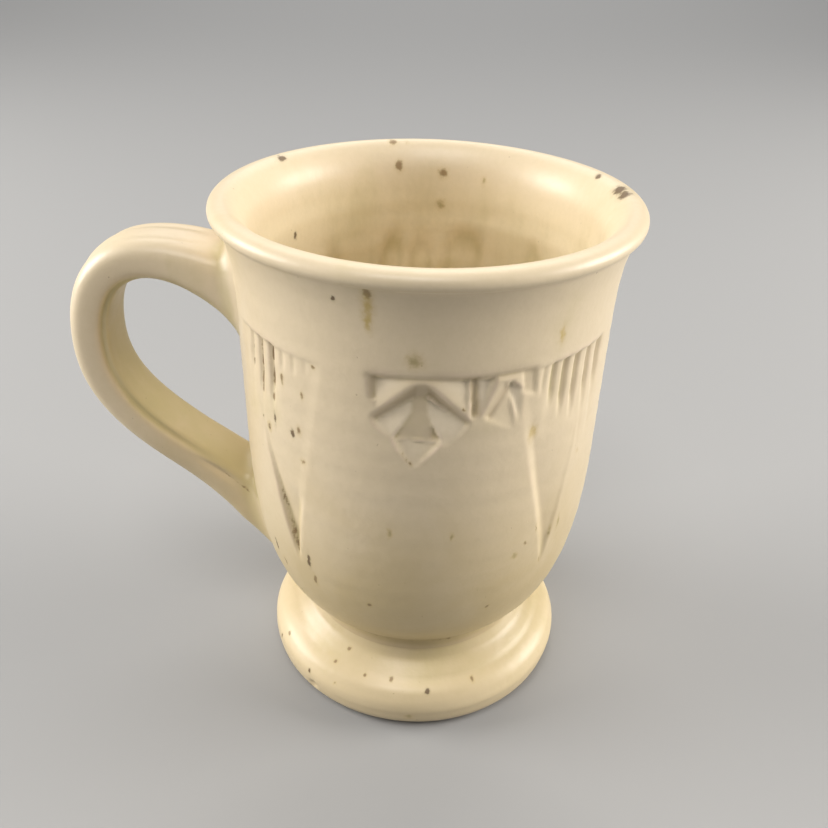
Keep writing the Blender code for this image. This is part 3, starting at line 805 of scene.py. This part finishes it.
def addFoot():
    outline, standInner, standOuter = footOutline()
    mesh = turnedMesh(outline, foot["steps"], closed=True)
    for face in mesh.faces:
        middle = face.calc_center_median()
        radius = math.hypot(middle.x - axisX, middle.y)
        if middle.z < foot["bareTo"] and radius < standOuter + 1.2 * mm:
            face.material_index = 1
    footGlaze = glaze("creamGlazeFoot", footMarks, footMarkRadius)
    piece = addPiece("pedestalFoot", mesh, [footGlaze, bareClay("bareStoneware")], 80)
    points = readPoints(piece)
    edges = readEdges(piece)
    angle, radius, height = wallPlace(points)
    turn = np.radians(angle)
    outer = radius > standOuter - 0.2 * mm + np.minimum(height, 0)
    share = outer * ease(height, 2 * mm, 5 * mm) * ease(height, footHigh[2], footHigh[2] - 3 * mm)
    rings = 0.5 + 0.3 * np.sin(math.tau * height / foot["ringPitch"] + turn)
    rings += 0.2 * np.sin(math.tau * height / foot["fineRingPitch"] - 2 * turn)
    inward = share * (0.22 * mm * rings + 0.18 * mm * (0.5 + 0.5 * np.sin(2 * turn + 1.1)))
    # a small chip knocked out of the edge
    chipTurn = math.radians(foot["chipAngle"])
    chip = (axisX + footRadius * math.sin(chipTurn), -footRadius * math.cos(chipTurn), foot["chipHeight"])
    away = np.linalg.norm((points - chip) / foot["chipReach"], axis=1)
    chipped = ease(away, 1.0, 0.2)
    inward += foot["chipDepth"] * chipped
    pressAngle, angleReach, pressHeight, heightReach, deep = foot["press"]
    fromPress = (angleFrom(angle, pressAngle) / angleReach) ** 2 + ((height - pressHeight) / heightReach) ** 2
    inward += share * deep * np.exp(-fromPress)
    bore = ~outer & (height > 1.5 * mm)
    trimmed = bore * 0.12 * mm * np.sin(math.tau * height / foot["boreRingPitch"] + turn)
    moveRadially(points, radius, radius - inward + trimmed)
    writePoints(piece, points)
    standEdge = softened(ease(height, 3 * mm, 0.8 * mm) * outer, edges, 2) * 0.8
    # partly glaze pooled in the waist's hollow, partly painted shade under the bowl
    waistPoolAndShade = ease(height, 8 * mm, footHigh[2]) * 0.9
    rim = ease(np.abs(height - 0.7 * mm), 0.5 * mm, 0.1 * mm) * outer
    # painted shade on the top of the foot under the bowl
    storeMasks(piece, edge=standEdge, shade=outer * ease(height, 13 * mm, 17.5 * mm) * 0.75,
               pool=np.where(outer, waistPoolAndShade, 0.35), crease=np.maximum(rim * 0.8, chipped * 1.4))
    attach(piece, "root")
    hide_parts("pedestal_foot")
    print("foot: flared and trimmed,", len(piece.data.polygons), "faces")
    return piece


def footMarkRadius(angle, height):
    outside = [point for point in footOutline()[0] if point[0] > cup["waistRadius"] - 0.1 * mm]
    return float(radiusAt(height, outside))


strap = {
    "reach": axisX - strapLow[0] - 4.55 * mm,  # from the axis to the strap's middle, at the widest
    "wideDrop": 34.8 * mm,
    "topDrop": 19.6 * mm,
    "lowHeight": 42.2 * mm,
    "spring": (0.63, 0.34),  # how the top end leaves the wall
    "crown": 1.26,
    "root": 0.09,
    "drop": 0.465,
    "landing": (0.39, 0.44),  # and how the low end comes back to it
    "width": 16.4 * mm,
    "thickness": 9.1 * mm,
    "square": 0.66,  # 1 is an oval, less is squarer
    "jointWidth": 20 * mm,
    "topThickness": 16.5 * mm,
    "lowThickness": 12.5 * mm,
    "spread": 24 * mm,
    "tail": 1.2 * mm,
    "sides": 64,
    "spacing": 0.9 * mm,
    "blend": 3.2 * mm,  # radius of the clay smoothed in round each joint
    "blendSpacing": 0.3 * mm,
    "sink": 1 * mm,
    "meeting": 12 * mm,  # this much of each end is drawn on to the wall
}


def strapPath():
    topHeight = mugHeight - strap["topDrop"]
    wideHeight = mugHeight - strap["wideDrop"]
    top = Vector((float(outsideRadius(topHeight)), 0, topHeight))
    wide = Vector((strap["reach"], 0, wideHeight))
    low = Vector((float(outsideRadius(strap["lowHeight"])), 0, strap["lowHeight"]))
    spring = (strap["reach"] - top.x) * Vector((strap["spring"][0], 0, strap["spring"][1]))
    crown = Vector((0, 0, strap["crown"] * (topHeight - wideHeight)))
    drop = Vector((0, 0, strap["drop"] * (wideHeight - strap["lowHeight"])))
    landing = (strap["reach"] - low.x) * Vector((strap["landing"][0], 0, strap["landing"][1]))
    upper = interpolate_bezier(top, top + spring, wide + crown, wide, 60)
    lower = interpolate_bezier(wide, wide - drop, low + landing, low, 60)
    whole = [top - spring * strap["root"]] + upper + lower[1:] + [low - landing.normalized() * strap["tail"]]
    return np.array([(-point.x, point.z) for point in whole])


def strapStations():
    path = strapPath()
    lengths = np.concatenate([[0], np.cumsum(np.hypot(*np.diff(path, axis=0).T))])
    total = lengths[-1]
    jointAt = total - strap["tail"]
    near = 9 * mm
    start = np.arange(0, near + 4 * mm, strap["blendSpacing"])
    middle = np.arange(start[-1] + strap["spacing"], jointAt - near, strap["spacing"])
    end = np.arange(middle[-1] + strap["blendSpacing"], total, strap["blendSpacing"])
    at = np.concatenate([start, middle, end])
    x, z = [np.interp(at, lengths, line) for line in path.T]
    blur = np.ones(9) / 9
    steered = [np.pad(np.gradient(line, at), 4, mode="edge") for line in (x, z)]
    alongX, alongZ = [np.convolve(line, blur, "valid") for line in steered]
    nearTop = np.maximum(0, 1 - at / strap["spread"]) ** 2
    nearLow = np.maximum(0, 1 - np.abs(jointAt - at) / strap["spread"]) ** 2
    width = strap["width"] + (strap["jointWidth"] - strap["width"]) * (nearTop + nearLow)
    thickness = strap["thickness"] + (strap["topThickness"] - strap["thickness"]) * nearTop
    thickness += (strap["lowThickness"] - strap["thickness"]) * nearLow
    hand = 1 + 0.018 * np.sin(at / 11e-3 + 1) + 0.012 * np.sin(at / 5.3e-3)  # pulled by hand
    return at / total, x, z, alongX, alongZ, width * hand, thickness * (2 - hand) * 0.99


def meetWall(rings, way):
    # every line along the strap is carried on to just under the wall's skin, or cut off there
    lines = np.array([[tuple(vert.co) for vert in ring] for ring in rings])
    onward = np.arange(80, 0, -1)[:, None, None] * 0.2 * mm * np.array(way)
    lines = np.concatenate([lines[:1] + onward, lines])
    _, radius, height = wallPlace(lines.reshape(-1, 3))
    under = (radius < outsideRadius(height) - strap["sink"]).reshape(lines.shape[:2])
    for number in range(lines.shape[1]):
        hidden = np.nonzero(under[:, number])[0]
        line = lines[hidden[-1] if len(hidden) else 0:, number]
        lengths = np.concatenate([[0], np.cumsum(np.linalg.norm(np.diff(line, axis=0), axis=1))])
        for ring, at in zip(rings, np.linspace(0, lengths[-1], len(rings))):
            ring[number].co = [np.interp(at, lengths, line[:, axis]) for axis in range(3)]


def strapMesh():
    shares, x, z, alongX, alongZ, width, thickness = strapStations()
    mesh = bmesh.new()
    brown = mesh.verts.layers.float.new("crease")
    pool = mesh.verts.layers.float.new("pool")
    rings = []
    for number in range(len(x)):
        along = Vector((alongX[number], 0, alongZ[number])).normalized()
        across = Vector((0, 1, 0))
        outward = across.cross(along)  # away from the fingers
        place = Matrix((across, outward, along)).transposed().to_4x4()
        place.translation = Vector((axisX + x[number], 0, z[number]))
        ring = bmesh.ops.create_circle(mesh, segments=strap["sides"], radius=1)["verts"]
        halfWidth, halfThickness = width[number] / 2, thickness[number] / 2
        middleShare = ease(shares[number], 0.02, 0.14) * ease(shares[number], 0.97, 0.8)
        creaseShare = ease(shares[number], 0.16, 0.34) * ease(shares[number], 0.9, 0.7)
        foldShare = ease(shares[number], 0.78, 0.86) * ease(shares[number], 0.975, 0.95)
        for vert in ring:
            side, face = vert.co.x, vert.co.y
            squareSide, squareFace = squared(side, strap["square"]), squared(face, strap["square"])
            corner = math.degrees(math.atan2(face, side)) % 360
            if face > 0:
                groove = hump(squareSide, 0.42, 0.16) + 0.8 * hump(squareSide, -0.3, 0.18)
                squareFace -= (0.14 * groove + 0.04 * squareSide ** 2) * middleShare
            # creases that the fingers drew along the inner corners
            nearCrease = hump(corner, 219, 8) * creaseShare
            farCrease = hump(corner, 322, 8) * creaseShare * 0.7
            ridge = hump(corner, 236, 9) * creaseShare
            # and the fold where the tail was pressed on
            fold = hump(corner, 202 + 40 * (shares[number] - 0.9), 8) * foldShare
            pull = 1 - 0.085 * (nearCrease + farCrease) + 0.02 * ridge - 0.14 * fold
            squareSide, squareFace = squareSide * pull, squareFace * pull
            vert[brown] = min(1.0, 0.35 * nearCrease + 0.9 * fold)
            vert[pool] = 0.7 * ease(-face, 0.2, 0.8) + 0.3 * nearCrease
            vert.co = place @ Vector((squareSide * halfWidth, squareFace * halfThickness, 0))
        rings.append(ring)
    count = round(strap["meeting"] / strap["blendSpacing"])
    meetWall(rings[:count], (-alongX[0], 0, -alongZ[0]))
    meetWall(rings[:-count:-1], (alongX[-1], 0, alongZ[-1]))
    loops = [list({edge for vert in ring for edge in vert.link_edges}) for ring in rings]
    for lower, upper in zip(loops, loops[1:]):
        bmesh.ops.bridge_loops(mesh, edges=lower + upper)
    bmesh.ops.contextual_create(mesh, geom=loops[0])
    bmesh.ops.contextual_create(mesh, geom=loops[-1])
    bmesh.ops.recalc_face_normals(mesh, faces=mesh.faces)
    return mesh


def blendStrap(piece):
    # both ends spread over the wall like clay smoothed down with a thumb
    points = readPoints(piece)
    angle, radius, height = wallPlace(points)
    normals = readValues(piece.data.vertex_normals, "vector", 3)
    lean = (outsideRadius(height + 0.5 * mm) - outsideRadius(height - 0.5 * mm)) / mm
    turn = np.radians(angle)
    wall = np.stack([np.sin(turn), -np.cos(turn), -lean], axis=1)
    wall /= np.linalg.norm(wall, axis=1, keepdims=True)
    alongWall = normals - wall * np.sum(normals * wall, axis=1, keepdims=True)
    gap = (radius - outsideRadius(height)) / np.hypot(1, lean)
    blend = strap["blend"]
    spread = 0.8 * blend * (1 - np.clip(gap, -strap["sink"], blend) / blend) ** 2
    points += alongWall * spread[:, None]
    # and are rubbed smooth
    edges = readEdges(piece)
    rubbed = ease(gap, strap["blend"] * 3, strap["blend"]) * ease(gap, 0, 0.4 * mm)
    for axis in range(3):
        level = softened(points[:, axis], edges, 20)
        points[:, axis] += (level - points[:, axis]) * rubbed
    writePoints(piece, points)
    return gap


def addStrap():
    mesh = strapMesh()
    material = glaze("creamGlazeStrap")
    piece = addPiece("strapHandle", mesh, [material], 80)
    gap = blendStrap(piece)
    joint = ease(gap, 5 * mm, 2 * mm) * ease(gap, 0, 1.5 * mm) * 0.45
    pool = piece.data.attributes["pool"].data
    pool.foreach_set("value", np.maximum(readValues(pool, "value"), joint))
    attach(piece, "root")
    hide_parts("handle")
    print("handle: pulled and joined on,", len(piece.data.polygons), "faces")
    return piece


slip = {
    "steps": 240,
    "reach": 2.2 * mm,  # how far the waist's slip runs up the bowl and down the foot
    "bead": 0.42 * mm,
    "proud": 0.1 * mm,
    "gap": 0.3 * mm,  # between the slip and the clay beside it
    "beadSink": 0.22 * mm,
}


def addWaistSlip():
    waist = cup["waistRadius"]
    low = footHigh[2] - slip["reach"]
    high = cupBase + slip["reach"] * 0.55
    lowRadius = footMarkRadius(0, low) + slip["proud"]
    highRadius = float(outsideRadius(high)) + slip["proud"]
    fillet = bezier((lowRadius, low), (waist + slip["proud"], footHigh[2] - slip["gap"]),
                    (waist + slip["proud"], cupBase - 0.2 * mm), (highRadius, high), 14)
    inner = waist - foot["wall"] + 0.8 * mm
    hidden = waist - 1 * mm
    top, bottom = cupBase - slip["gap"], footHigh[2] + slip["gap"]
    back = [(hidden, high), (hidden, top), (inner, top), (inner, bottom), (hidden, bottom), (hidden, low)]
    mesh = turnedMesh(fillet + back, slip["steps"], closed=True)
    piece = addPiece("waistSlip", mesh, [glaze("slipGlazeWaist")], 50)
    height = readPoints(piece)[:, 2]
    middle = (low + high) / 2
    away = np.abs(height - middle)
    # painted shade all round the waist's slip, under the bowl
    storeMasks(piece, pool=ease(away, 2.4 * mm, 0.4 * mm) * 0.8, shade=np.full(len(away), 0.75),
               crease=ease(away, 1 * mm, 0.2 * mm) * 0.72)
    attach(piece, "root")
    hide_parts("foot_slip_joint")
    print("waist: slip smoothed round the joint")


def addJointSlip(name, node, low, high):
    # the last of the slip, squeezed out where an end of the strap meets the wall
    middle = (low[2] + high[2]) / 2
    halfHeight = (high[2] - low[2]) / 2 + strap["blend"] * 0.55
    halfWidth = (high[1] - low[1]) / 2 + strap["blend"] * 0.55
    mesh = bmesh.new()
    loops = []
    count = 120
    for number in range(count):
        turn = math.tau * number / count
        along = squared(math.cos(turn), 0.85) * halfWidth
        height = middle + squared(math.sin(turn), 0.9) * halfHeight
        radius = float(outsideRadius(height))
        angle = along / radius
        spot = Vector((axisX - radius * math.cos(angle), radius * math.sin(angle), height))
        outward = Vector((-math.cos(angle), math.sin(angle), 0))
        rounding = Vector((0, -math.sin(turn) * halfWidth, math.cos(turn) * halfHeight)).normalized()
        across = outward.cross(rounding).normalized()
        place = Matrix((across, outward, across.cross(outward))).transposed().to_4x4()
        place.translation = spot - outward * slip["beadSink"]
        size = Matrix.Diagonal((slip["bead"] * (1.5 + 0.5 * math.sin(5 * turn)), slip["bead"] * 0.6, 1, 1))
        ring = bmesh.ops.create_circle(mesh, segments=10, radius=1, matrix=place @ size)["verts"]
        loops.append(list({edge for vert in ring for edge in vert.link_edges}))
    for here, there in zip(loops, loops[1:] + loops[:1]):
        bmesh.ops.bridge_loops(mesh, edges=here + there)
    bmesh.ops.recalc_face_normals(mesh, faces=mesh.faces)
    piece = addPiece(name, mesh, [glaze("slipGlaze" + name)], 80)
    total = len(piece.data.vertices)
    storeMasks(piece, pool=np.full(total, 0.3), crease=np.full(total, 0.25))
    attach(piece, "root")
    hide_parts(node)
    print(name + ": slip round the joint")


studio = {
    "floorSize": 9.0,
    "floor": color(0.32, 0.318, 0.314),
    "sky": color(0.95, 0.97, 1.0),
    "skyStrength": 0.12,
    "lights": [  # where from the mug, size, power, colour
        ("leftWindow", (-0.92, 0.05, 0.39), 0.6, 11.1, (1.0, 0.98, 0.95)),
        ("rightWindow", (0.94, 0.07, 0.37), 0.6, 12.2, (1.0, 0.97, 0.93)),
        ("frontGlow", (-0.1, -0.45, 0.96), 0.5, 4.9, (1.0, 0.98, 0.96)),
        ("farGlow", (0.0, 2.2, 2.00), 3.00, 60.0, (1.0, 0.99, 0.98)),
    ],
    "aim": 0.07,
}
viewpoint = {
    "back": 169.3 * mm,
    "height": 170.7 * mm,
    "tiltDown": 31.73,
    "turn": -0.53,
    "roll": 1.63,
    "lens": 36.96,
}


def addFloor():
    mesh = bmesh.new()
    bmesh.ops.create_grid(mesh, x_segments=1, y_segments=1, size=studio["floorSize"] / 2)
    material, _, shader = newMaterial("paperSweep")
    shader.inputs["Base Color"].default_value = studio["floor"]
    shader.inputs["Roughness"].default_value = 0.85
    floor = addPiece("studioFloor", mesh, [material])


def addLights():
    world = bpy.data.worlds.new("softRoom")
    bpy.context.scene.world = world
    world.use_nodes = True
    world.node_tree.nodes["Background"].inputs["Color"].default_value = studio["sky"]
    world.node_tree.nodes["Background"].inputs["Strength"].default_value = studio["skyStrength"]
    target = Vector((axisX, 0, studio["aim"]))
    for name, offset, size, power, tint in studio["lights"]:
        light = bpy.data.lights.new(name, "AREA")
        light.shape, light.size, light.energy, light.color = "DISK", size, power, tint
        lamp = bpy.data.objects.new(name, light)
        lamp.location = Vector((axisX, 0, 0)) + Vector(offset)
        aim = target if name != "farGlow" else Vector((axisX, 2.2, 0))
        lamp.rotation_euler = (aim - lamp.location).to_track_quat("-Z", "Y").to_euler()
        bpy.context.collection.objects.link(lamp)


def addCamera():
    down, turn = math.radians(viewpoint["tiltDown"]), math.radians(viewpoint["turn"])
    ahead = Vector((math.sin(turn) * math.cos(down), math.cos(turn) * math.cos(down), -math.sin(down)))
    level = ahead.cross(Vector((0, 0, 1))).normalized()
    upright = level.cross(ahead)
    roll = math.radians(viewpoint["roll"])
    right = level * math.cos(roll) + upright * math.sin(roll)
    up = upright * math.cos(roll) - level * math.sin(roll)
    placed = Matrix((right, up, -ahead)).transposed().to_4x4()
    placed.translation = Vector((axisX, -viewpoint["back"], viewpoint["height"]))
    lens = bpy.data.cameras.new("viewer")
    lens.lens, lens.sensor_width = viewpoint["lens"], 36
    lens.clip_start = 0.01
    camera = bpy.data.objects.new("viewer", lens)
    camera.matrix_world = placed
    bpy.context.collection.objects.link(camera)
    bpy.context.scene.camera = camera


bpy.context.scene.view_settings.view_transform = "Standard"
addCamera()
addFloor()
addLights()
addCup()
addFoot()
addStrap()
addWaistSlip()
addJointSlip("upperJointSlip", "upper_handle_slip_joint", topSlipLow, topSlipHigh)
addJointSlip("lowerJointSlip", "lower_handle_slip_joint", lowSlipLow, lowSlipHigh)
